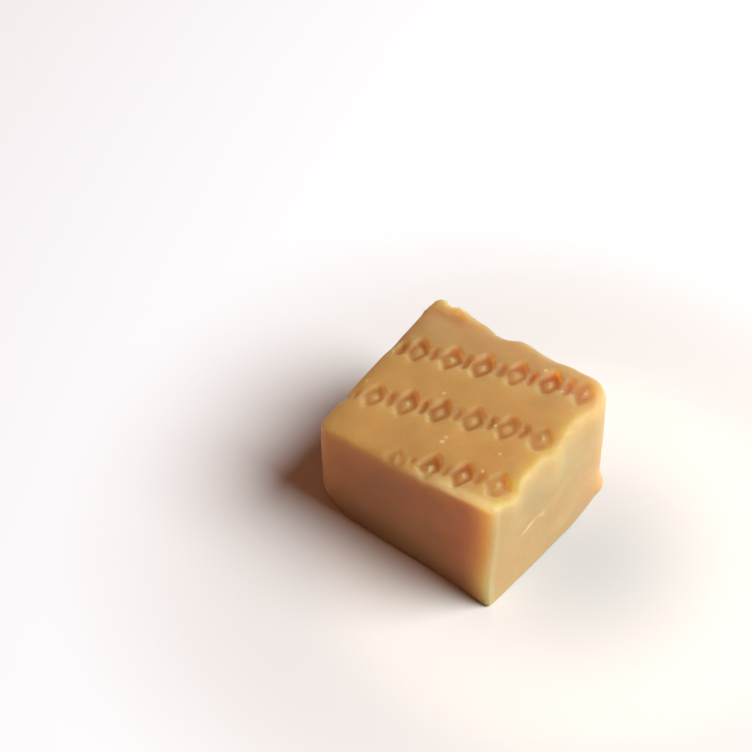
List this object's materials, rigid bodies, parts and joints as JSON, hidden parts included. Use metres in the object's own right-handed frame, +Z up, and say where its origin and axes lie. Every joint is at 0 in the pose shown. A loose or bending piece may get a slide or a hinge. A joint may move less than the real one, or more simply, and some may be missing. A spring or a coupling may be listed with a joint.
{
  "type": "fudge",
  "caption": "Cut block of soft fudge, leaning and uneven, with slanting rows of small pressed diamonds and ovals across its top and a flat base.",
  "frame": {"origin": "middle of the bounding box, on the flat base", "axes": "+Z up, X along the longer side of the base with +X towards the side that the pressed rows run off, -Y towards the side below the lowest rim"},
  "size_m": [0.0264, 0.0232, 0.0177],
  "materials": {
    "fudge": "smooth, waxy and slightly see-through caramel brown, with soft highlights"
  },
  "bodies": {
    "root": {"fudge": "fudge"}
  },
  "joints": []
}
